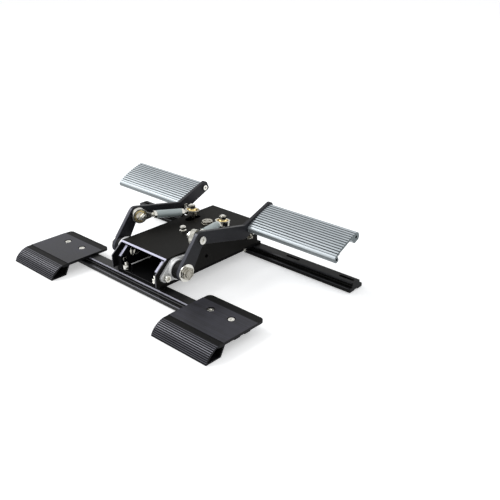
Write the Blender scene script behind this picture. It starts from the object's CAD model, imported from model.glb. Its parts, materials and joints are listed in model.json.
import json
import math

import bpy
from mathutils import Matrix, Vector

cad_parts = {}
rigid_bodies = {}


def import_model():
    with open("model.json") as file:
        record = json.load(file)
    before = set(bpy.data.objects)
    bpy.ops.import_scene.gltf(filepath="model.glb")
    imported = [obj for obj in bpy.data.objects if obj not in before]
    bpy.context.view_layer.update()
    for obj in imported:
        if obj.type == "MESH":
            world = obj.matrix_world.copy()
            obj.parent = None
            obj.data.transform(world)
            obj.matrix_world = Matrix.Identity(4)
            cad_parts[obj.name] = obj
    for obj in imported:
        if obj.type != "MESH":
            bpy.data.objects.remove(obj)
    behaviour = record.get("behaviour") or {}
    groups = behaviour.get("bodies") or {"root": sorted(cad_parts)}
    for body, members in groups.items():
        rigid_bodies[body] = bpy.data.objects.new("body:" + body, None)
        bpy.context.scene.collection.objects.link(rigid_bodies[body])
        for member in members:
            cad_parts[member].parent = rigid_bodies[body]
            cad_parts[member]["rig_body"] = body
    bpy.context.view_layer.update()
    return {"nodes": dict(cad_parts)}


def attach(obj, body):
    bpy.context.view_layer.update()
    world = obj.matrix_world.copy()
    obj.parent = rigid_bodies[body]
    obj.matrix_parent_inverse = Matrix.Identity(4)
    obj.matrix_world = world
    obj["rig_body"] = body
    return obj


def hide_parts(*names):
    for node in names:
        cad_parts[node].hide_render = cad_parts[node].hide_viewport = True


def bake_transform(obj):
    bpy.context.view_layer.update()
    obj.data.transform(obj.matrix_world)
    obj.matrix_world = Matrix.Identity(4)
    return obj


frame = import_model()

bpy.ops.object.select_all(action="DESELECT")
solids = frame["nodes"]

# The white sweep the unit stands on, the studio lamps, and the camera, which looks down over the
# right front corner.
FLOOR_SIZE, FLOOR_DROP = 14.0, 0.0003
FLOOR_COLOUR = (0.90, 0.91, 0.92, 1)
FLOOR_ROUGH, FLOOR_GLOSS, FLOOR_LIFT = 0.9, 0.1, 0.40
WHITE = (1, 1, 1, 1)
SKY_LEVEL = 0.62
LAMPS = (
    ("key_softbox", (-1.9, -0.7, 2.0), 1.5, 36),
    ("rear_softbox", (1.0, 1.9, 1.5), 1.2, 9),
)
LAMP_AIM = Vector((0, 0, 0.04))
CAMERA_AT = (0.7090, -0.6104, 0.4678)
CAMERA_RIGHT = (0.738237, 0.674545, -0.002689)
CAMERA_UP = (-0.283382, 0.313754, 0.906240)
CAMERA_BACK = (0.612140, -0.668250, 0.422770)
CAMERA_LENS, CAMERA_SENSOR, CAMERA_FAR = 49.56, 36, 40


def seen_directly(tree):
    """One where the camera, a reflection or a refraction looks, and zero for diffuse light."""
    path = tree.nodes.new("ShaderNodeLightPath")
    seen = path.outputs["Is Camera Ray"]
    for ray in ("Is Glossy Ray", "Is Transmission Ray"):
        either = tree.nodes.new("ShaderNodeMath")
        either.operation = "MAXIMUM"
        tree.links.new(seen, either.inputs[0])
        tree.links.new(path.outputs[ray], either.inputs[1])
        seen = either.outputs[0]
    return seen


world = bpy.data.worlds.new("white_studio")
bpy.context.scene.world = world
world.use_nodes = True
sky = world.node_tree.nodes["Background"]
sky.inputs["Color"].default_value = WHITE
level = world.node_tree.nodes.new("ShaderNodeMapRange")
level.inputs["To Min"].default_value = SKY_LEVEL
level.inputs["To Max"].default_value = 1.0
world.node_tree.links.new(seen_directly(world.node_tree), level.inputs["Value"])
world.node_tree.links.new(level.outputs["Result"], sky.inputs["Strength"])

bpy.ops.mesh.primitive_plane_add(size=FLOOR_SIZE, location=(0, 0, -FLOOR_DROP))
floor = bpy.context.object
floor.name = "white_sweep"
bpy.ops.object.transform_apply(location=True)
sweep = bpy.data.materials.new("white_sweep")
sweep.use_nodes = True
paper = sweep.node_tree.nodes["Principled BSDF"]
paper.inputs["Base Color"].default_value = FLOOR_COLOUR
paper.inputs["Roughness"].default_value = FLOOR_ROUGH
paper.inputs["Specular IOR Level"].default_value = FLOOR_GLOSS
paper.inputs["Emission Color"].default_value = WHITE
glow = sweep.node_tree.nodes.new("ShaderNodeMath")
glow.operation = "MULTIPLY"
glow.inputs[1].default_value = FLOOR_LIFT
sweep.node_tree.links.new(seen_directly(sweep.node_tree), glow.inputs[0])
sweep.node_tree.links.new(glow.outputs[0], paper.inputs["Emission Strength"])
floor.data.materials.append(sweep)

for name, place, size, power in LAMPS:
    bpy.ops.object.light_add(type="AREA", location=place)
    lamp = bpy.context.object
    lamp.name = name
    lamp.data.size = size
    lamp.data.energy = power
    lamp.rotation_euler = (LAMP_AIM - Vector(place)).to_track_quat("-Z", "Y").to_euler()

bpy.ops.object.camera_add()
camera = bpy.context.object
camera.name = "studio_camera"
axes = Matrix((CAMERA_RIGHT, CAMERA_UP, CAMERA_BACK)).transposed().to_4x4()
camera.matrix_world = Matrix.Translation(CAMERA_AT) @ axes
camera.data.sensor_width = CAMERA_SENSOR
camera.data.lens = CAMERA_LENS
camera.data.clip_end = CAMERA_FAR
bpy.context.scene.camera = camera
bpy.context.scene.view_settings.view_transform = "Standard"


# The two cross bars: aluminium extrusions, stepped on both sides, anodised black, with fine draw
# lines along their length. The front one's chamfers and raised band are worn brighter than its
# grooves, and the rear one is plainer and darker.
BAR_EASE = 0.00025
BAR_CHAMFER, BAR_LIP, BAR_BAND = (0.0124, 0.0142), (0.0056, 0.0071), (0.0085, 0.0101)
CHAMFER_TILT, LIP_TILT, BAND_UPRIGHT = (0.4, 0.95), (0.4, 0.9), 0.7
DRAWN_GRAIN, WORN_GRAIN = (5, 800, 800), (4, 900, 900)
STREAK_SHARE, STREAK_DETAIL = 0.6, 4.0
CLOUD_SHARE, CLOUD_DETAIL, CLOUDS_A_METRE = 0.4, 3.0, 30.0
TINT_FROM, TINT_TO = 0.35, 0.65
RELIEF, SMOOTHEST = 0.5, 0.03
MERGE_GAP = 0.000004
FLAT_WITHIN, SMOOTH_WITHIN = math.radians(0.4), math.radians(32)


def finish(name, colour, shade, rough, metal=0.0, grain=(700, 700, 700), depth=0.00005,
           gloss=0.5, spread=0.08):
    """A skin for a piece: colour and shade are mixed by a grain of so many streaks a metre along X, Y
    and Z and by soft clouds, which also move the roughness by spread. The streaks raise it by depth."""
    skin = bpy.data.materials.new(name)
    skin.use_nodes = True
    nodes, links = skin.node_tree.nodes, skin.node_tree.links
    face = nodes["Principled BSDF"]
    face.inputs["Metallic"].default_value = metal
    face.inputs["Specular IOR Level"].default_value = gloss
    place = nodes.new("ShaderNodeTexCoord")
    stretch = nodes.new("ShaderNodeMapping")
    stretch.inputs["Scale"].default_value = grain
    links.new(place.outputs["Object"], stretch.inputs["Vector"])
    streaks = nodes.new("ShaderNodeTexNoise")
    streaks.inputs["Scale"].default_value = 1.0
    streaks.inputs["Detail"].default_value = STREAK_DETAIL
    links.new(stretch.outputs[0], streaks.inputs["Vector"])
    clouds = nodes.new("ShaderNodeTexNoise")
    clouds.inputs["Scale"].default_value = CLOUDS_A_METRE
    clouds.inputs["Detail"].default_value = CLOUD_DETAIL
    links.new(place.outputs["Object"], clouds.inputs["Vector"])
    cloudy = nodes.new("ShaderNodeMath")
    cloudy.operation = "MULTIPLY"
    cloudy.inputs[1].default_value = CLOUD_SHARE
    links.new(clouds.outputs["Fac"], cloudy.inputs[0])
    both = nodes.new("ShaderNodeMath")
    both.operation = "MULTIPLY_ADD"
    both.inputs[1].default_value = STREAK_SHARE
    links.new(streaks.outputs["Fac"], both.inputs[0])
    links.new(cloudy.outputs[0], both.inputs[2])
    tint = nodes.new("ShaderNodeValToRGB")
    tint.color_ramp.elements[0].position = TINT_FROM
    tint.color_ramp.elements[0].color = (*colour, 1)
    tint.color_ramp.elements[1].position = TINT_TO
    tint.color_ramp.elements[1].color = (*shade, 1)
    links.new(both.outputs[0], tint.inputs["Fac"])
    links.new(tint.outputs["Color"], face.inputs["Base Color"])
    sheen = nodes.new("ShaderNodeMapRange")
    sheen.inputs["From Min"].default_value = TINT_FROM
    sheen.inputs["From Max"].default_value = TINT_TO
    sheen.inputs["To Min"].default_value = max(rough - spread, SMOOTHEST)
    sheen.inputs["To Max"].default_value = rough + spread
    links.new(both.outputs[0], sheen.inputs["Value"])
    links.new(sheen.outputs["Result"], face.inputs["Roughness"])
    relief = nodes.new("ShaderNodeBump")
    relief.inputs["Strength"].default_value = RELIEF
    relief.inputs["Distance"].default_value = depth
    links.new(streaks.outputs["Fac"], relief.inputs["Height"])
    links.new(relief.outputs[0], face.inputs["Normal"])
    return skin


def pick(piece):
    """Makes the piece the only one that is selected, and the one that operators work on."""
    bpy.ops.object.select_all(action="DESELECT")
    bpy.context.view_layer.objects.active = piece
    piece.select_set(True)


def join_facets():
    """Merges the doubles of the picked piece and takes the edges out of its flat faces."""
    bpy.ops.object.mode_set(mode="EDIT")
    bpy.ops.mesh.select_all(action="SELECT")
    bpy.ops.mesh.remove_doubles(threshold=MERGE_GAP)
    bpy.ops.mesh.dissolve_limited(angle_limit=FLAT_WITHIN)
    bpy.ops.object.mode_set(mode="OBJECT")


def coat(piece, skin):
    """Gives the whole piece one skin."""
    piece.data.materials.clear()
    piece.data.materials.append(skin)
    for face in piece.data.polygons:
        face.material_index = 0


def reskin(piece, skin, chosen):
    """Gives the faces that chosen(middle, normal) picks another skin."""
    piece.data.materials.append(skin)
    number = len(piece.data.materials) - 1
    for face in piece.data.polygons:
        if chosen(face.center, face.normal):
            face.material_index = number


def between(value, ends):
    """True where the value lies inside the two ends."""
    return ends[0] < value < ends[1]


def eased(node, skin, ease=0.0, steps=2):
    """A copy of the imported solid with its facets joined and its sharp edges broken, in its place."""
    piece = solids[node].copy()
    piece.data = solids[node].data.copy()
    piece.parent = None
    piece.matrix_world = Matrix.Identity(4)
    piece.name = node + "_finished"
    for key in [k for k in piece.keys() if k.startswith("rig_")]:
        del piece[key]
    bpy.context.scene.collection.objects.link(piece)
    pick(piece)
    join_facets()
    bpy.ops.object.shade_smooth_by_angle(angle=SMOOTH_WITHIN)
    if ease:
        edge = piece.modifiers.new("broken_edges", "BEVEL")
        edge.width = ease
        edge.segments = steps
        edge.limit_method = "ANGLE"
        edge.angle_limit = SMOOTH_WITHIN
        edge.use_clamp_overlap = False
        edge.miter_outer = "MITER_ARC"
        edge.harden_normals = True
        bpy.ops.object.modifier_apply(modifier=edge.name)
    coat(piece, skin)
    piece.select_set(False)
    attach(piece, solids[node]["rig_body"])
    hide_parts(node)
    return piece


bar_skin = finish("bar_anodised", (0.006, 0.006, 0.006), (0.013, 0.013, 0.013), rough=0.36,
                  grain=DRAWN_GRAIN, depth=0.00004, gloss=0.2)
bar_edge = finish("bar_bright_edge", (0.11, 0.11, 0.137), (0.215, 0.215, 0.26), rough=0.34,
                  metal=0.4, grain=WORN_GRAIN, depth=0.00002)
bar_lip_edge = finish("bar_lip_edge", (0.045, 0.045, 0.055), (0.09, 0.09, 0.11), rough=0.36,
                      metal=0.4, grain=WORN_GRAIN, depth=0.00002)
bar_band = finish("bar_band", (0.028, 0.028, 0.033), (0.06, 0.06, 0.068), rough=0.38,
                  metal=0.3, grain=WORN_GRAIN, depth=0.00002)
rear_skin = finish("rear_bar_anodised", (0.0025, 0.0025, 0.0024), (0.0055, 0.0055, 0.0052),
                   rough=0.44, grain=DRAWN_GRAIN, depth=0.00002, gloss=0.09)
rear_edge = finish("rear_bar_edge", (0.020, 0.020, 0.0235), (0.042, 0.042, 0.048), rough=0.42,
                   metal=0.2, grain=WORN_GRAIN, depth=0.00002, gloss=0.3)
for bar, plain, edge, lip, band in (("front_bar", bar_skin, bar_edge, bar_lip_edge, bar_band),
                                    ("rear_bar", rear_skin, rear_edge, rear_edge, rear_skin)):
    stepped = eased(bar, plain, BAR_EASE)
    reskin(stepped, edge, lambda at, up: between(at.z, BAR_CHAMFER) and between(up.z, CHAMFER_TILT))
    reskin(stepped, lip, lambda at, up: between(at.z, BAR_LIP) and between(up.z, LIP_TILT))
    reskin(stepped, band, lambda at, up: between(at.z, BAR_BAND) and abs(up.y) > BAND_UPRIGHT)


# Moulded plugs in the ends of the bars, of black nylon with a spark-eroded grain, and the strips glued
# under the bars and the stop bumpers, which are plain black rubber with a dusty bloom.
CAP_EASE, STRIP_EASE, BUMPER_EASE = 0.0004, 0.0003, 0.0005
cap_skin = finish("cap_nylon", (0.0045, 0.005, 0.0052), (0.0095, 0.0105, 0.0108), rough=0.55,
                  grain=(1600, 1600, 1600), gloss=0.12)
rubber_skin = finish("foot_rubber", (0.012, 0.012, 0.012), (0.03, 0.03, 0.03), rough=0.85,
                     grain=(900, 900, 900), gloss=0.25)
eased("bar_end_caps", cap_skin, CAP_EASE)
eased("foot_strips", rubber_skin, STRIP_EASE)
eased("stop_bumpers", rubber_skin, BUMPER_EASE)


# The two heel plates: black anodised extrusions with a finely brushed tread, a plain strip at the
# rear and a nose of eleven ribs that runs down to the floor in front of a hollow. Each is drawn out
# from its section, rounded at the rear corners and sunk for two cap screws.
SIDES = ((-1, "left"), (1, "right"))
NEAR, OVERRUN = 0.0001, 0.001
# Y is counted from the front bar's centre line, which lies this far in front of the unit's middle.
MID_Y = 0.068
HEEL_FROM_X, HEEL_TO_X = 0.112, 0.212
HEEL_REAR, HEEL_STEP_Y, TREAD_FROM = 0.0283 - MID_Y, 0.015 - MID_Y, -0.047 - MID_Y
HEEL_FOOT, HEEL_TOP, HEEL_STEP_Z = 0.014, 0.018, 0.0176
HEEL_CORNER_R, HEEL_CORNER_STEPS = 0.007, 10
NOSE_FROM, NOSE_REACH, NOSE_TOP, NOSE_WALL = -0.0555 - MID_Y, 0.022, 0.0175, 0.0024
NOSE_ROUND, NOSE_STRAIGHT, NOSE_LEAN = 0.62, 0.38, 0.4
NOSE_RIBS, NOSE_RIB_H, NOSE_RIB_SIDES = 11, 0.0009, (0.52, 0.60, 0.92)
NOSE_SAMPLES, NOSE_FADE = 200, 0.15
WEB_REAR = ((-0.052, 0), (-0.052, 0.0007), (-0.0454, 0.0128), (-0.0446, HEEL_FOOT))
HOLLOW_TOP, HOLLOW_FLOOR = ((-0.0476, 0.013), (-0.0535, 0.0138)), ((-0.0725, 0.002), (-0.0542, 0.002))
HOLLOW_STEPS = 8
HEEL_SCREWS, HEEL_SCREW_Y = (0.143, 0.180), -0.0005 - MID_Y
SINK_FLOOR, SINK_R, SHANK_R, HOLE_SIDES = 0.0154, 0.0056, 0.0025, 48
HEEL_SCREW_EASE = 0.00018
LEVEL, RIB_OFF, RIB_TILT = 0.95, (0.8, 1.3), 0.2


def nose_point(t, lift):
    """A point of the nose curve at share t, lifted off it."""
    turn = math.radians(90 * t)
    out = Vector((-math.sin(turn) - NOSE_LEAN, math.cos(turn) + NOSE_LEAN)).normalized()
    forward = NOSE_ROUND * math.sin(turn) + NOSE_STRAIGHT * t
    height = NOSE_ROUND * math.cos(turn) + NOSE_STRAIGHT * (1 - t)
    at = Vector((NOSE_FROM - NOSE_REACH * forward, NOSE_TOP * height))
    return at + out * lift * math.sin(math.pi * t)


def from_middle(points):
    """The same points, with Y counted from the unit's middle."""
    return [(y - MID_Y, z) for y, z in points]


def heel_section():
    """The outline of the plate and of the hollow in its nose, seen from the side."""
    tread = [(HEEL_REAR, HEEL_FOOT), (HEEL_REAR, HEEL_STEP_Z), (HEEL_STEP_Y, HEEL_STEP_Z),
             (HEEL_STEP_Y, HEEL_TOP), (TREAD_FROM, HEEL_TOP), (TREAD_FROM, NOSE_TOP)]
    nose = [nose_point(0, 0)]
    for k in range(NOSE_RIBS):
        foot, start, end = ((k + share) / NOSE_RIBS for share in NOSE_RIB_SIDES)
        nose.append(nose_point(foot, 0))
        nose.append(nose_point(start, NOSE_RIB_H))
        nose.append(nose_point(end, NOSE_RIB_H))
        nose.append(nose_point((k + 1) / NOSE_RIBS, 0))
    under_nose = [nose_point(k / HOLLOW_STEPS, -NOSE_WALL) for k in range(1, HOLLOW_STEPS)]
    hollow = from_middle(HOLLOW_TOP) + under_nose + from_middle(HOLLOW_FLOOR)
    return [tread + nose + from_middle(WEB_REAR), hollow]


def drawn_section(name, loops, from_x, to_x, origin, along, up):
    """Draws the filled loops out along X from one end to the other, as an extrusion is. Their points
    are counted along and up from the origin."""
    section = bpy.data.curves.new(name, "CURVE")
    section.dimensions = "2D"
    section.fill_mode = "BOTH"
    section.extrude = abs(to_x - from_x) / 2
    for loop in loops:
        line = section.splines.new("POLY")
        line.points.add(len(loop) - 1)
        for point, (u, n) in zip(line.points, loop):
            point.co = (u, n, 0, 1)
        line.use_cyclic_u = True
    piece = bpy.data.objects.new(name, section)
    bpy.context.scene.collection.objects.link(piece)
    pick(piece)
    bpy.ops.object.convert(target="MESH")
    piece = bpy.context.object
    middle = Vector(origin) + Vector(((from_x + to_x) / 2, 0, 0))
    turn = Matrix((along, up, (1, 0, 0))).transposed().to_4x4()
    piece.matrix_world = Matrix.Translation(middle) @ turn
    bpy.ops.object.transform_apply(location=True, rotation=True, scale=True)
    join_facets()
    bpy.ops.object.mode_set(mode="EDIT")
    bpy.ops.mesh.select_all(action="SELECT")
    bpy.ops.mesh.normals_make_consistent(inside=False)
    bpy.ops.object.mode_set(mode="OBJECT")
    return piece


def joined(piece, other, how):
    """Adds the other solid to the piece, or cuts it out, and removes it."""
    mix = piece.modifiers.new("mix", "BOOLEAN")
    mix.operation = how
    mix.object = other
    mix.solver = "EXACT"
    bpy.context.view_layer.objects.active = piece
    bpy.ops.object.modifier_apply(modifier=mix.name)
    bpy.data.objects.remove(other)


def bored(piece, x, bottom, radius):
    """Cuts an upright screw hole into the plate, from the bottom to above its tread."""
    top = HEEL_TOP + OVERRUN
    bpy.ops.object.select_all(action="DESELECT")
    bpy.ops.mesh.primitive_cylinder_add(vertices=HOLE_SIDES, radius=radius, depth=top - bottom,
                                        location=(x, HEEL_SCREW_Y, (top + bottom) / 2))
    joined(piece, bpy.context.object, "DIFFERENCE")


def off_nose(at):
    """How far a point stands off the smooth curve that the nose ribs rise from, as a share of a rib."""
    nearest = math.inf
    for k in range(NOSE_SAMPLES + 1):
        t = k / NOSE_SAMPLES
        foot = nose_point(t, 0)
        rib = NOSE_RIB_H * max(math.sin(math.pi * t), NOSE_FADE)
        nearest = min(nearest, math.hypot(at.y - foot.x, at.z - foot.y) / rib)
    return nearest


def on_tread(at, up):
    """Level faces of the heel plate's brushed tread."""
    return up.z > LEVEL and at.z > HEEL_TOP - NEAR and TREAD_FROM < at.y < HEEL_STEP_Y


def on_rib(at, up):
    """The tops of the nose ribs, apart from the lowest, which look forward."""
    return at.y < NOSE_FROM and between(off_nose(at), RIB_OFF) and up.z > RIB_TILT


tread_skin = finish("heel_tread", (0.005, 0.005, 0.0068), (0.036, 0.036, 0.049), rough=0.42,
                    metal=0.2, grain=(5, 620, 620), depth=0.00014, gloss=0.3, spread=0.10)
plain_skin = finish("heel_plain", (0.0022, 0.0022, 0.0022), (0.005, 0.005, 0.0048), rough=0.48,
                    grain=(6, 700, 700), depth=0.00002, gloss=0.08)
nose_skin = finish("heel_nose", (0.004, 0.004, 0.005), (0.009, 0.009, 0.011), rough=0.46,
                   metal=0.1, grain=(7, 900, 900), depth=0.00002, gloss=0.12)
rib_skin = finish("heel_ribs", (0.065, 0.065, 0.082), (0.12, 0.12, 0.145), rough=0.34,
                  metal=0.35, grain=(7, 900, 900), depth=0.00002)
zinc_skin = finish("zinc_plate", (0.62, 0.61, 0.56), (0.82, 0.81, 0.76), rough=0.17, metal=1.0,
                   grain=(1100, 1100, 1100), depth=0.00001, spread=0.05)
for side, word in SIDES:
    heel = drawn_section("heel_plate_finished_" + word, heel_section(), side * HEEL_FROM_X,
                         side * HEEL_TO_X, (0, 0, 0), (0, 1, 0), (0, 0, 1))
    bpy.ops.object.mode_set(mode="EDIT")
    bpy.ops.mesh.select_mode(type="EDGE")
    bpy.ops.mesh.select_all(action="DESELECT")
    bpy.ops.object.mode_set(mode="OBJECT")
    for edge in heel.data.edges:
        one, two = (heel.data.vertices[v].co for v in edge.vertices)
        upright = abs(one.x - two.x) < NEAR and abs(one.z - two.z) > OVERRUN
        edge.select = upright and min(one.y, two.y) > HEEL_REAR - NEAR
    bpy.ops.object.mode_set(mode="EDIT")
    bpy.ops.mesh.bevel(offset=HEEL_CORNER_R, segments=HEEL_CORNER_STEPS, affect="EDGES")
    bpy.ops.object.mode_set(mode="OBJECT")
    for x in HEEL_SCREWS:
        bored(heel, side * x, HEEL_FOOT - OVERRUN, SHANK_R)
        bored(heel, side * x, SINK_FLOOR, SINK_R)
    pick(heel)
    bpy.ops.object.shade_smooth_by_angle(angle=SMOOTH_WITHIN)
    coat(heel, plain_skin)
    reskin(heel, tread_skin, on_tread)
    reskin(heel, nose_skin, lambda at, up: at.y < NOSE_FROM)
    reskin(heel, rib_skin, on_rib)
    heel.select_set(False)
    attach(heel, solids["heel_plate_" + word]["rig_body"])
    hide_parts("heel_plate_" + word)
eased("heel_plate_screws", zinc_skin, HEEL_SCREW_EASE)


# The chassis channel: folded steel sheet under the cover, powder coated. The front end of its floor is
# cut bare and shows grey; the upright edges keep their coat.
CHANNEL_FRONT, CHANNEL_WALLS_FROM, CHANNEL_EASE = -0.005 - MID_Y, 0.0182, 0.0002
FORWARD = -0.55
inner_skin = finish("inner_coat", (0.0016, 0.0016, 0.0018), (0.004, 0.004, 0.0045), rough=0.6,
                    grain=(1900, 1900, 1900), depth=0.00006, gloss=0.06)
grey_edge = finish("grey_edge", (0.030, 0.030, 0.034), (0.115, 0.115, 0.13), rough=0.45,
                   metal=0.4, grain=(900, 60, 60), depth=0.00012, gloss=0.4)


def front_of_floor(at, up):
    """The cut front end of the channel's floor, which looks forward along -Y."""
    return up.y < FORWARD and at.y < CHANNEL_FRONT + OVERRUN and at.z < CHANNEL_WALLS_FROM


channel = eased("chassis_channel", inner_skin, CHANNEL_EASE)
reskin(channel, grey_edge, front_of_floor)


# The cheek plates bolted inside the channel's walls, which the bearing bolts screw into: milled
# aluminium, black on the flat and left bright on the slanted front edge.
CHEEK_EASE, CHEEK_TILT = 0.0003, 0.2
cut_edge = finish("cut_edge", (0.24, 0.24, 0.31), (0.38, 0.38, 0.48), rough=0.40, metal=0.4,
                  grain=(300, 1200, 1200), depth=0.00003)
cheeks = eased("cheek_plates", inner_skin, CHEEK_EASE)
reskin(cheeks, cut_edge, lambda at, up: up.y < FORWARD and up.z > CHEEK_TILT)


# Bolts and nuts that join the bars to the channel floor: zinc-plated steel with real screw threads
# above the nuts. The thread is a ridge wound round the shank.
BAR_BOLT_X, BAR_BOLT_R = 0.0326, 0.0025
BAR_BOLT_ROWS = (("front", 0.0 - MID_Y), ("rear", 0.2001 - MID_Y))
BAR_BOLT_TOP, BAR_NUT_TOP, BAR_BOLT_EASE, BAR_BOLT_PITCH = 0.0295, 0.0246, 0.0002, 0.0008
THREAD_FLANK, THREAD_SINK, THREAD_STEPS = 0.62, 0.42, 20


def screw_thread(name, start, end, radius, pitch, skin, body):
    """A triangular ridge wound round the shank from start to end, standing on its radius."""
    start, end = Vector(start), Vector(end)
    length = (end - start).length
    turns = max(int((length - pitch) / pitch), 1)
    bpy.ops.object.select_all(action="DESELECT")
    bpy.ops.mesh.primitive_circle_add(vertices=3, radius=pitch * THREAD_FLANK, fill_type="NOTHING")
    ridge = bpy.context.object
    ridge.name = name
    ridge.matrix_world = Matrix((
        (0, 1, 0, radius - pitch * THREAD_FLANK * THREAD_SINK),
        (0, 0, -1, 0),
        (-1, 0, 0, (length - turns * pitch) / 2),
        (0, 0, 0, 1)))
    bpy.ops.object.transform_apply(location=True, rotation=True, scale=True)
    wind = ridge.modifiers.new("wind", "SCREW")
    wind.axis = "Z"
    wind.angle = math.tau
    wind.screw_offset = pitch
    wind.iterations = turns
    wind.steps = THREAD_STEPS
    wind.render_steps = THREAD_STEPS
    wind.use_smooth_shade = False
    bpy.ops.object.modifier_apply(modifier=wind.name)
    bpy.ops.object.mode_set(mode="EDIT")
    bpy.ops.mesh.select_all(action="SELECT")
    bpy.ops.mesh.fill_holes(sides=3)
    bpy.ops.mesh.select_all(action="SELECT")
    bpy.ops.mesh.normals_make_consistent(inside=False)
    bpy.ops.object.mode_set(mode="OBJECT")
    turn = (end - start).to_track_quat("Z", "Y").to_matrix().to_4x4()
    ridge.matrix_world = Matrix.Translation(start) @ turn
    bpy.ops.object.transform_apply(location=True, rotation=True, scale=True)
    ridge.data.materials.append(skin)
    ridge.select_set(False)
    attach(ridge, body)


for node in ("bar_bolts", "chassis_nuts"):
    eased(node, zinc_skin, BAR_BOLT_EASE)
for side, word in SIDES:
    for row, y in BAR_BOLT_ROWS:
        screw_thread(f"bar_bolt_thread_{row}_{word}", (side * BAR_BOLT_X, y, BAR_NUT_TOP),
                     (side * BAR_BOLT_X, y, BAR_BOLT_TOP), BAR_BOLT_R, BAR_BOLT_PITCH,
                     zinc_skin, "chassis")


# The guide wire at the front of the channel floor, a bent spring-steel rod whose two feet are dipped
# black like the channel.
WIRE_DIP_Z = 0.0286
wire_skin = finish("spring_wire", (0.66, 0.66, 0.66), (0.82, 0.82, 0.82), rough=0.3, metal=0.15,
                   grain=(900, 60, 900), depth=0.00001)
guide = eased("guide_wire", wire_skin)
reskin(guide, inner_skin, lambda at, up: at.z < WIRE_DIP_Z)


# Electronics under the cover: a green glass-fibre board on brass spacers with a chip, a connector and
# small parts, the black sensor housing behind it, the magnet that it reads, and the USB socket in the
# coated sheet of the rear panel.
BOARD_EASE, HOUSING_EASE, PANEL_EASE, MAGNET_EASE = 0.0001, 0.0004, 0.0003, 0.0002
board_skin = finish("solder_mask", (0.004, 0.060, 0.022), (0.006, 0.095, 0.035), rough=0.3,
                    grain=(400, 400, 400), depth=0.00002, gloss=0.6)
brass_skin = finish("turned_brass", (0.52, 0.34, 0.10), (0.68, 0.46, 0.16), rough=0.3, metal=1.0,
                    grain=(300, 300, 1500), depth=0.00003)
plastic_skin = finish("black_moulding", (0.010, 0.010, 0.011), (0.022, 0.022, 0.024), rough=0.5,
                      grain=(1500, 1500, 1500), depth=0.00003)
sheet_skin = finish("sheet_powder_coat", (0.0042, 0.0040, 0.0035), (0.0098, 0.0093, 0.0082),
                    rough=0.60, grain=(1900, 1900, 1900), depth=0.00007, gloss=0.09)
magnet_skin = finish("nickel_magnet", (0.55, 0.54, 0.52), (0.68, 0.67, 0.64), rough=0.2, metal=1.0,
                     grain=(400, 400, 400), depth=0.00002)
eased("circuit_board", board_skin, BOARD_EASE)
eased("board_spacers", brass_skin, BOARD_EASE)
eased("sensor_housing", plastic_skin, HOUSING_EASE)
eased("rear_panel", sheet_skin, PANEL_EASE)
eased("usb_socket", zinc_skin, BOARD_EASE)
eased("sensor_magnet", magnet_skin, MAGNET_EASE)


# The rocker under the cover: a plasma-cut steel plate on a fixed post with flanged bronze bushes,
# clamped by a washer and a nut on top of the cover, and its two end bolts with spacers, balls and lock
# nuts. The pins that the springs are anchored to stand in the channel's floor.
POST_Y = 0.1345 - MID_Y
ROCKER_REACH, ROCKER_BOLT_R, ROCKER_BOLT_PITCH = 0.0337, 0.003, 0.0007
ROCKER_NUT_TOP, ROCKER_BOLT_TOP = 0.0784, 0.0799
ROCKER_EASE, BUSH_EASE, ROCKER_STEEL_EASE = 0.0003, 0.0001, 0.0002
rocker_skin = finish("rocker_plate", (0.10, 0.10, 0.105), (0.17, 0.17, 0.18), rough=0.4, metal=0.8,
                     grain=(500, 60, 500), depth=0.00005)
bronze_skin = finish("bronze_bush", (0.45, 0.27, 0.10), (0.62, 0.40, 0.17), rough=0.34, metal=1.0,
                     grain=(700, 700, 700), depth=0.00004)
gold_skin = finish("yellow_zinc", (0.62, 0.48, 0.20), (0.80, 0.66, 0.34), rough=0.28, metal=1.0,
                   grain=(500, 500, 500), depth=0.00003)
turned_skin = finish("turned_steel", (0.13, 0.12, 0.095), (0.52, 0.50, 0.44), rough=0.16,
                     metal=1.0, grain=(480, 480, 480), depth=0.00002, spread=0.05)
eased("rocker_arm", rocker_skin, ROCKER_EASE)
eased("rocker_bearings", bronze_skin, BUSH_EASE)
for node, steel in (("rocker_post", zinc_skin), ("rocker_post_nut", turned_skin),
                    ("rocker_bolts", zinc_skin), ("rocker_nuts", turned_skin),
                    ("spring_anchors", zinc_skin)):
    eased(node, steel, ROCKER_STEEL_EASE)
eased("rocker_balls", gold_skin)
for side, word in SIDES:
    screw_thread("rocker_bolt_thread_" + word, (side * ROCKER_REACH, POST_Y, ROCKER_NUT_TOP),
                 (side * ROCKER_REACH, POST_Y, ROCKER_BOLT_TOP), ROCKER_BOLT_R, ROCKER_BOLT_PITCH,
                 zinc_skin, "rocker")


# The centring springs: two extension springs of close-wound wire. Each hooks round its fixed anchor
# and round the pin under the rocker, and follows the rocker at that end.
SPRING_X, SPRING_Z = 0.014, 0.036
SPRING_FROM, SPRING_TO = 0.062 - MID_Y, 0.121 - MID_Y
COIL_R, WIRE_R, HOOK_R = 0.0034, 0.0007, 0.0030
COIL_TURNS, COIL_STEPS, COIL_ENDS, COIL_SWELL = 28, 16, 0.0062, 8
HOOK_SWEEP, HOOK_STEPS, FRONT_HOOK_FROM, REAR_HOOK_FROM = 300, 24, -90, -150


def hook(at_y, first):
    """Points of an open ring in the level plane, from the first angle on."""
    turns = [math.radians(first + HOOK_SWEEP * k / HOOK_STEPS) for k in range(HOOK_STEPS + 1)]
    return [Vector((HOOK_R * math.cos(a), at_y + HOOK_R * math.sin(a), 0)) for a in turns]


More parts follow.
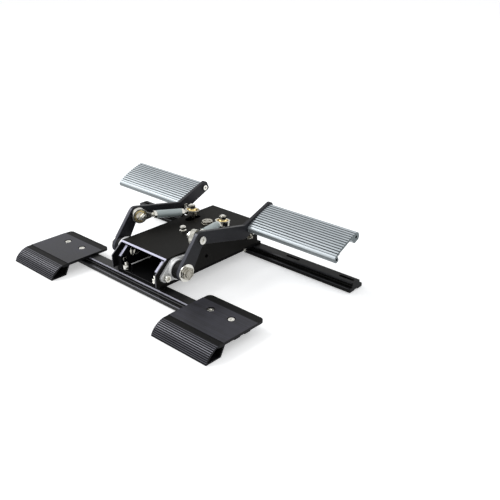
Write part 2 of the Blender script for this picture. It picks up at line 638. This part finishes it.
def wound_spring(side, word):
    """One wire: a hook, a helix and a hook, as a round tube along the route."""
    run = SPRING_TO - SPRING_FROM
    steps = COIL_TURNS * COIL_STEPS
    route = hook(0, FRONT_HOOK_FROM)
    for k in range(steps + 1):
        a = math.tau * k / COIL_STEPS
        swell = min(1.0, k / COIL_SWELL, (steps - k) / COIL_SWELL)
        reach = HOOK_R + (COIL_R - HOOK_R) * swell
        along = COIL_ENDS + (run - 2 * COIL_ENDS) * k / steps
        route.append(Vector((reach * math.cos(a), along, reach * math.sin(a))))
    route += hook(run, REAR_HOOK_FROM)
    curve = bpy.data.curves.new("spring_route", "CURVE")
    curve.dimensions = "3D"
    line = curve.splines.new("POLY")
    line.points.add(len(route) - 1)
    for point, place in zip(line.points, route):
        point.co = (place.x, place.y, place.z, 1)
    curve.bevel_depth = WIRE_R
    curve.bevel_resolution = 2
    curve.use_fill_caps = True
    spring = bpy.data.objects.new("centring_spring_" + word, curve)
    bpy.context.scene.collection.objects.link(spring)
    pick(spring)
    bpy.ops.object.convert(target="MESH")
    spring = bpy.context.object
    spring.matrix_world = Matrix.Translation((side * SPRING_X, SPRING_FROM, SPRING_Z))
    bpy.ops.object.transform_apply(location=True, rotation=True, scale=True)
    bpy.ops.object.shade_smooth()
    coat(spring, wire_skin)
    spring.select_set(False)
    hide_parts("centring_springs")
    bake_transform(spring)


for side, word in SIDES:
    wound_spring(side, word)


# The top cover: a folded sheet shell with a fine textured powder coat and slots for the rocker bolts,
# held by small cap screws in the side walls. Its slanted front is cut bare along the top and worn
# grey down the sides.
COVER_IN, COVER_IN_MARGIN, COVER_WALL = 0.047, 0.0005, 0.9
COVER_MOUTH, COVER_BEND = 0.012 - MID_Y, 0.0545
COVER_EASE, COVER_BOLT_EASE = 0.0002, 0.00018


def in_wall(at, up):
    """The inner faces of the cover's two side walls."""
    return abs(up.x) > COVER_WALL and abs(at.x) < COVER_IN + COVER_IN_MARGIN


def mouth_edge(at, up):
    """The slanted front edge, which looks forward along -Y."""
    return up.y < FORWARD and at.y < COVER_MOUTH


cover = eased("top_cover", sheet_skin, COVER_EASE)
pick(cover)
bpy.ops.object.mode_set(mode="EDIT")
bpy.ops.mesh.select_all(action="SELECT")
bpy.ops.mesh.bisect(plane_co=(0, 0, COVER_BEND), plane_no=(0, 0, 1))
bpy.ops.object.mode_set(mode="OBJECT")
cover.select_set(False)
reskin(cover, inner_skin, in_wall)
reskin(cover, grey_edge, mouth_edge)
reskin(cover, cut_edge, lambda at, up: mouth_edge(at, up) and at.z > COVER_BEND)
for node, steel in (("cover_screws", zinc_skin), ("side_adjuster", turned_skin),
                    ("top_cap_bolt", zinc_skin)):
    eased(node, steel, COVER_BOLT_EASE)


# The flange bearings on the cover's sides: die-cast zinc housings, lightly blasted, with a boss and
# two bolt lobes inside a raised rim, and a shallow pocket between them. Each has a black pressed
# insert and is held by two cap screws.
AXLE_Y, AXLE_Z = 0.021 - MID_Y, 0.0393
FLANGE_AT = (0, AXLE_Y, AXLE_Z)
FLANGE_TURN = math.radians(20)
FLANGE_ALONG = (0, math.cos(FLANGE_TURN), math.sin(FLANGE_TURN))
FLANGE_UP = (0, -math.sin(FLANGE_TURN), math.cos(FLANGE_TURN))
FLANGE_FROM_X, FLANGE_SEAT_X, FLANGE_FACE_X = 0.049, 0.0535, 0.0585
FLANGE_BASE_R, FLANGE_LOBE_R, FLANGE_RIM, FLANGE_POCKET = 0.0157, 0.0071, 0.0012, 0.0015
FLANGE_REACH, FLANGE_PAD_R, FLANGE_BOLT_R = 0.021, 0.0054, 0.003
FLANGE_BOSS_R, FLANGE_BORE_R = 0.0150, 0.013
FLANGE_SIDES, FLANGE_STEPS = 64, 24
FLANGE_EASE, FLANGE_EASE_OVER = 0.0004, math.radians(40)
INSERT_EASE = 0.0003


def ring(u, n, radius, start, end, steps=18):
    """Points on a circle about (u, n) from one angle to another."""
    turns = [math.radians(start + (end - start) * k / steps) for k in range(steps + 1)]
    return [(u + radius * math.cos(a), n + radius * math.sin(a)) for a in turns]


def lobed(shrink):
    """The outline drawn tightly round the middle and the two lobes, all smaller by shrink."""
    middle_r, lobe_r = FLANGE_BASE_R - shrink, FLANGE_LOBE_R - shrink
    lean = math.degrees(math.acos((middle_r - lobe_r) / FLANGE_REACH))
    return (ring(FLANGE_REACH, 0, lobe_r, -lean, lean, FLANGE_STEPS)
            + ring(0, 0, middle_r, lean, 180 - lean, FLANGE_STEPS)
            + ring(-FLANGE_REACH, 0, lobe_r, 180 - lean, 180 + lean, FLANGE_STEPS)
            + ring(0, 0, middle_r, 180 + lean, 360 - lean, FLANGE_STEPS))


def turned_along_x(from_x, to_x, reach, radius):
    """A cylinder along X, so far from the axle along the flange."""
    at = ((from_x + to_x) / 2, AXLE_Y + reach * FLANGE_ALONG[1], AXLE_Z + reach * FLANGE_ALONG[2])
    bpy.ops.object.select_all(action="DESELECT")
    bpy.ops.mesh.primitive_cylinder_add(vertices=FLANGE_SIDES, radius=radius, depth=abs(to_x - from_x),
                                        location=at, rotation=(0, math.pi / 2, 0))
    return bpy.context.object


cast_skin = finish("cast_zinc", (0.72, 0.73, 0.735), (0.90, 0.905, 0.91), rough=0.34, metal=0.3,
                   grain=(650, 650, 650), depth=0.00006)
insert_skin = finish("black_insert", (0.0025, 0.0025, 0.003), (0.007, 0.007, 0.008), rough=0.5,
                     grain=(400, 400, 400), depth=0.00002, gloss=0.12)
for side, word in SIDES:
    seat, face = side * FLANGE_SEAT_X, side * FLANGE_FACE_X
    sunk = side * (FLANGE_SEAT_X - 2 * FLANGE_POCKET)
    behind = side * (FLANGE_FROM_X - OVERRUN)
    flange = drawn_section("flange_finished_" + word, [lobed(0)], side * FLANGE_FROM_X, seat,
                           FLANGE_AT, FLANGE_ALONG, FLANGE_UP)
    pocket = drawn_section("flange_pocket", [lobed(FLANGE_RIM)], side * (FLANGE_SEAT_X - FLANGE_POCKET),
                           face, FLANGE_AT, FLANGE_ALONG, FLANGE_UP)
    joined(flange, pocket, "DIFFERENCE")
    for reach in (-FLANGE_REACH, FLANGE_REACH):
        joined(flange, turned_along_x(sunk, seat, reach, FLANGE_PAD_R), "UNION")
    joined(flange, turned_along_x(sunk, face, 0, FLANGE_BOSS_R), "UNION")
    bore = turned_along_x(behind, side * (FLANGE_FACE_X + OVERRUN), 0, FLANGE_BORE_R)
    joined(flange, bore, "DIFFERENCE")
    for reach in (-FLANGE_REACH, FLANGE_REACH):
        hole = turned_along_x(behind, side * (FLANGE_SEAT_X + OVERRUN), reach, FLANGE_BOLT_R)
        joined(flange, hole, "DIFFERENCE")
    pick(flange)
    edge = flange.modifiers.new("broken_edges", "BEVEL")
    edge.width = FLANGE_EASE
    edge.segments = 2
    edge.limit_method = "ANGLE"
    edge.angle_limit = FLANGE_EASE_OVER
    bpy.ops.object.modifier_apply(modifier=edge.name)
    bpy.ops.object.shade_smooth_by_angle(angle=SMOOTH_WITHIN)
    coat(flange, cast_skin)
    flange.select_set(False)
    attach(flange, "chassis")
    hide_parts("flange_bearing_" + word)
eased("bearing_inserts", insert_skin, INSERT_EASE)
eased("flange_bolts", zinc_skin, INSERT_EASE)


# The pedal arms: bent profiles cut from aluminium plate and anodised black, on a black hub, with a
# pivot bolt, a washer and a lock nut at the axle, a bolt at the knee and two screws into the pad.
ARM_EASE, ARM_EASE_STEPS, HUB_EASE, ARM_BOLT_EASE = 0.0005, 3, 0.0004, 0.0003
ARM_FLAT, ARM_FORWARD = 0.8, -0.5
WASHER_X, AXLE_NUT_X, AXLE_END_X = 0.0757, 0.0795, 0.0807
AXLE_R, AXLE_THREAD_DROP, AXLE_PITCH = 0.006, 0.0004, 0.001
arm_skin = finish("arm_anodised", (0.007, 0.0072, 0.0095), (0.0145, 0.015, 0.0195), rough=0.42,
                  grain=(900, 900, 900), depth=0.00004, gloss=0.22)
arm_edge = finish("arm_milled_edge", (0.030, 0.032, 0.044), (0.054, 0.056, 0.074), rough=0.36,
                  metal=0.3, grain=(900, 120, 120), depth=0.00005)
for side, word in SIDES:
    arm = eased("pedal_arm_" + word, arm_skin, ARM_EASE, ARM_EASE_STEPS)
    reskin(arm, arm_edge, lambda at, up: abs(up.x) < ARM_FLAT and up.y < ARM_FORWARD)
    eased("arm_hub_" + word, insert_skin, HUB_EASE)
    nuts = eased("pivot_nuts_" + word, zinc_skin, ARM_BOLT_EASE)
    reskin(nuts, turned_skin, lambda at, up: abs(at.x) > WASHER_X)
    axle = eased("pivot_axle_" + word, zinc_skin, ARM_BOLT_EASE)
    reskin(axle, turned_skin, lambda at, up: abs(at.x) > AXLE_NUT_X)
    for node in ("pad_screws_", "knee_bolt_"):
        eased(node + word, zinc_skin, ARM_BOLT_EASE)
    screw_thread("axle_thread_" + word, (side * AXLE_NUT_X, AXLE_Y, AXLE_Z),
                 (side * (AXLE_END_X + NEAR), AXLE_Y, AXLE_Z), AXLE_R - AXLE_THREAD_DROP, AXLE_PITCH,
                 turned_skin, solids["pivot_axle_" + word]["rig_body"])


# The foot pads: ribbed aluminium extrusions, silver anodised, drawn out from their section and cut to
# length. The section has twelve ribs on a crowned tread, an open screw port in the front roll, and
# a closed port and a small hole in the rear roll.
PAD_TURN = math.radians(23.6)
PAD_ALONG = Vector((0, math.cos(PAD_TURN), math.sin(PAD_TURN)))
PAD_UP = Vector((0, -math.sin(PAD_TURN), math.cos(PAD_TURN)))
PAD_FIRST = Vector((0, 0.1514 - MID_Y, 0.0638))
PAD_INNER_X, PAD_OUTER_X = 0.0740, 0.2316
# Lengths along the tread and square to it, from the front port.
PAD_FRONT, PAD_REAR, PAD_LOW, PAD_HEEL = -0.0050, 0.0548, -0.0048, -0.0070
PAD_FACE, PAD_UNDER, PAD_RIB_TOP, PAD_ROLL_TOP = 0.0039, 0.0019, 0.0052, 0.0048
PAD_CROWN, PAD_MID, PAD_HALF = 0.003, 0.0249, 0.0299
PAD_RIBS, PAD_RIB_FROM, PAD_RIB_TO = 12, 0.0004, 0.0524
PAD_RIB_SIDES, PAD_RIB_EASE = (0.13, 0.80), (0.0002, 0.0003)
FRONT_ROLL_REAR, FRONT_TOP_R, FRONT_REAR_R, FRONT_LOW_R = 0.0036, 0.0044, 0.0026, 0.0042
REAR_ROLL_FROM, REAR_ROLL_FOOT = 0.0360, 0.0415
REAR_TOP_R, REAR_BACK_R, REAR_FOOT_R = 0.002, 0.0055, 0.004
BEAD_FROM, BEAD_TO, BEAD_LOW = 0.006, 0.008, 0.0003
PORT_GAP, PORT_R, PORT_SLIT = 0.0479, 0.0021, 0.0011
KEY_END, KEY_LOW, KEY_HIGH, KEY_SWEEP = 0.0394, -0.00115, -0.00005, (213.2, 541.4)
PIN_HOLE, PIN_HOLE_R, PIN_HOLE_SWEEP, PIN_HOLE_STEPS = (0.0499, -0.0052), 0.0011, (0, 345), 23
GROOVE_SHARE, OFF_TREAD, NOT_END, SAWN_END = (-0.3, 0.7), 1.5, 0.5, 0.9
UNDER_TILT, ROLL_TILT, FRONT_TILT, FRONT_FACING = 0.45, (0.62, 0.93), -0.6, -0.5
PAD_GRAIN, PAD_FINE = (8, 2600, 2600), 0.00001
pad_skin = finish("pad_anodised", (0.41, 0.455, 0.48), (0.49, 0.53, 0.56), rough=0.40, metal=0.4,
                  grain=PAD_GRAIN, depth=PAD_FINE, spread=0.04)
pad_groove = finish("pad_groove", (0.034, 0.042, 0.045), (0.060, 0.072, 0.077), rough=0.5,
                    metal=0.2, grain=PAD_GRAIN, depth=PAD_FINE, gloss=0.3, spread=0.04)
pad_roll = finish("pad_roll", (0.49, 0.54, 0.57), (0.57, 0.62, 0.65), rough=0.36, metal=0.4,
                  grain=PAD_GRAIN, depth=PAD_FINE, spread=0.04)
pad_front = finish("pad_front", (0.17, 0.195, 0.205), (0.24, 0.265, 0.275), rough=0.40, metal=0.4,
                   grain=PAD_GRAIN, depth=PAD_FINE, spread=0.04)
pad_under = finish("pad_underside", (0.045, 0.062, 0.068), (0.09, 0.115, 0.125), rough=0.45,
                   metal=0.5, grain=(8, 900, 900), depth=0.00002, gloss=0.4)
pad_end = finish("pad_sawn_end", (0.10, 0.125, 0.13), (0.20, 0.23, 0.24), rough=0.5, metal=0.4,
                 grain=(900, 900, 900), depth=0.00003, gloss=0.4)
pad_port = finish("pad_port", (0.004, 0.006, 0.007), (0.012, 0.015, 0.016), rough=0.6, metal=0.2,
                  grain=(8, 900, 900), depth=0.00002, gloss=0.2)


def turned_corner(before, at, after, radius, steps=6):
    """Points of the arc that rounds the corner at between its neighbours."""
    before, at, after = Vector(before), Vector(at), Vector(after)
    one, two = (before - at).normalized(), (after - at).normalized()
    half = one.angle(two) / 2
    middle = at + (one + two).normalized() * radius / math.sin(half)
    reach = radius / math.tan(half)
    start, end = at + one * reach - middle, at + two * reach - middle
    shares = [k / steps for k in range(steps + 1)]
    return [middle + (start * (1 - share) + end * share).normalized() * radius for share in shares]


def crown_at(along):
    """How far the tread's crown lifts it there."""
    return PAD_CROWN * (1 - ((along - PAD_MID) / PAD_HALF) ** 2)


def crowned(u, n):
    """The point, lifted where it belongs to the tread and not to the front roll's port."""
    in_roll = math.hypot(u, n) <= PORT_R + NEAR or (n < PAD_UNDER and u < FRONT_ROLL_REAR + NEAR)
    return (u, n) if n <= 0 or in_roll else (u, n + crown_at(u))


def pad_section():
    """The outline, the rear port's keyhole and the small hole, along the tread and square to it."""
    ribs = []
    pitch = (PAD_RIB_TO - PAD_RIB_FROM) / PAD_RIBS
    over, drop = PAD_RIB_EASE
    for k in range(PAD_RIBS):
        start, end = (PAD_RIB_FROM + (k + share) * pitch for share in PAD_RIB_SIDES)
        ribs += [(start, PAD_FACE), (start, PAD_RIB_TOP - drop), (start + over, PAD_RIB_TOP),
                 (end - over, PAD_RIB_TOP), (end, PAD_RIB_TOP - drop), (end, PAD_FACE)]
    mouth = math.degrees(math.asin(PORT_SLIT / 2 / PORT_R))
    front_top, front_low = (PAD_FRONT, PAD_ROLL_TOP), (PAD_FRONT, PAD_LOW)
    roll_end, roll_low = (PAD_RIB_FROM, PAD_ROLL_TOP), (FRONT_ROLL_REAR, PAD_LOW)
    slit_low = (FRONT_ROLL_REAR, -PORT_SLIT / 2)
    rear_top, rear_low = (PAD_REAR, PAD_FACE), (PAD_REAR, PAD_HEEL)
    rear_foot, rear_under = (REAR_ROLL_FOOT, PAD_HEEL), (REAR_ROLL_FROM, PAD_UNDER)
    outline = (turned_corner(front_low, front_top, roll_end, FRONT_TOP_R)
               + [roll_end, (PAD_RIB_FROM, PAD_FACE)] + ribs
               + turned_corner((PAD_RIB_TO, PAD_FACE), rear_top, rear_low, REAR_TOP_R)
               + turned_corner(rear_top, rear_low, rear_foot, REAR_BACK_R)
               + turned_corner(rear_low, rear_foot, rear_under, REAR_FOOT_R)
               + [rear_under, (BEAD_TO, PAD_UNDER), (BEAD_TO, BEAD_LOW), (BEAD_FROM, BEAD_LOW),
                  (BEAD_FROM, PAD_UNDER), (FRONT_ROLL_REAR, PAD_UNDER), (FRONT_ROLL_REAR, PORT_SLIT / 2)]
               + ring(0, 0, PORT_R, mouth, 360 - mouth) + [slit_low]
               + turned_corner(slit_low, roll_low, front_low, FRONT_REAR_R)
               + turned_corner(roll_low, front_low, (PAD_FRONT, PAD_FACE), FRONT_LOW_R))
    keyhole = [(KEY_END, KEY_LOW)] + ring(PORT_GAP, 0, PORT_R, *KEY_SWEEP) + [(KEY_END, KEY_HIGH)]
    pin_hole = ring(*PIN_HOLE, PIN_HOLE_R, *PIN_HOLE_SWEEP, PIN_HOLE_STEPS)
    return [[crowned(u, n) for u, n in outline], keyhole, pin_hole]


def on_pad(at):
    """How far a point lies along the tread and above it, from the front screws."""
    off = Vector((0, at.y, at.z)) - PAD_FIRST
    return off.dot(PAD_ALONG), off.dot(PAD_UP)


def rib_share(at):
    """Zero at the floor of the grooves between the ribs, one at their tops, and two off the tread."""
    along, above = on_pad(at)
    if not PAD_RIB_FROM - NEAR < along < PAD_RIB_TO:
        return 2
    return (above - crown_at(along) - PAD_FACE) / (PAD_RIB_TOP - PAD_FACE)


def in_groove(at, up):
    """The floors and lower walls of the grooves between the ribs."""
    return abs(up.x) < NOT_END and between(rib_share(at), GROOVE_SHARE)


def below_tread(at, up):
    """Faces in front of the ribs or behind them that look down, forward or back."""
    return up.dot(PAD_UP) < UNDER_TILT and rib_share(at) > OFF_TREAD


def over_roll(at, up):
    """The rounded top of the front roll, in front of the ribs."""
    return between(up.dot(PAD_UP), ROLL_TILT) and up.dot(PAD_ALONG) < 0 and rib_share(at) > OFF_TREAD


def front_of_roll(at, up):
    """The front of the front roll, between its rounded top and its underside."""
    forward = FRONT_TILT < up.dot(PAD_UP) <= ROLL_TILT[0] and up.dot(PAD_ALONG) < FRONT_FACING
    return forward and on_pad(at)[0] < 0


def sawn(at, up):
    """The sawn outer end."""
    return abs(up.x) > SAWN_END and abs(at.x) > PAD_OUTER_X - OVERRUN


def in_port(at, up):
    """The wall of either screw port."""
    along, above = on_pad(at)
    nearest = min(math.hypot(along, above), math.hypot(along - PORT_GAP, above))
    return abs(up.x) < NOT_END and nearest < PORT_R + NEAR


for side, word in SIDES:
    pad = drawn_section("foot_pad_finished_" + word, pad_section(), side * PAD_INNER_X,
                        side * PAD_OUTER_X, PAD_FIRST, PAD_ALONG, PAD_UP)
    bpy.ops.object.shade_smooth_by_angle(angle=SMOOTH_WITHIN)
    coat(pad, pad_skin)
    pad.select_set(False)
    for skin, chosen in ((pad_groove, in_groove), (pad_under, below_tread), (pad_roll, over_roll),
                         (pad_front, front_of_roll), (pad_end, sawn), (pad_port, in_port)):
        reskin(pad, skin, chosen)
    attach(pad, solids["foot_pad_" + word]["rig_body"])
    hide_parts("foot_pad_" + word)


# The tie rods: a male rod end with a yellow liner and a ball at either end, screwed into a turned
# sleeve and locked by two thin nuts.
ROD_EASE, LINER_EASE, SLEEVE_EASE = 0.0003, 0.0001, 0.0004
rod_skin = finish("forged_rod_end", (0.34, 0.33, 0.29), (0.66, 0.65, 0.60), rough=0.18, metal=1.0,
                  grain=(600, 600, 600), depth=0.00002, spread=0.05)
sleeve_skin = finish("sleeve_anodised", (0.31, 0.365, 0.37), (0.41, 0.47, 0.475), rough=0.38,
                     metal=0.2, grain=(90, 90, 1400), depth=0.00002)
for side, word in SIDES:
    eased("rod_ends_" + word, rod_skin, ROD_EASE)
    eased("rod_liners_" + word, gold_skin, LINER_EASE)
    eased("tie_sleeve_" + word, sleeve_skin, SLEEVE_EASE)
    eased("jam_nuts_" + word, zinc_skin, ROD_EASE)
    eased("knee_ball_" + word, turned_skin)
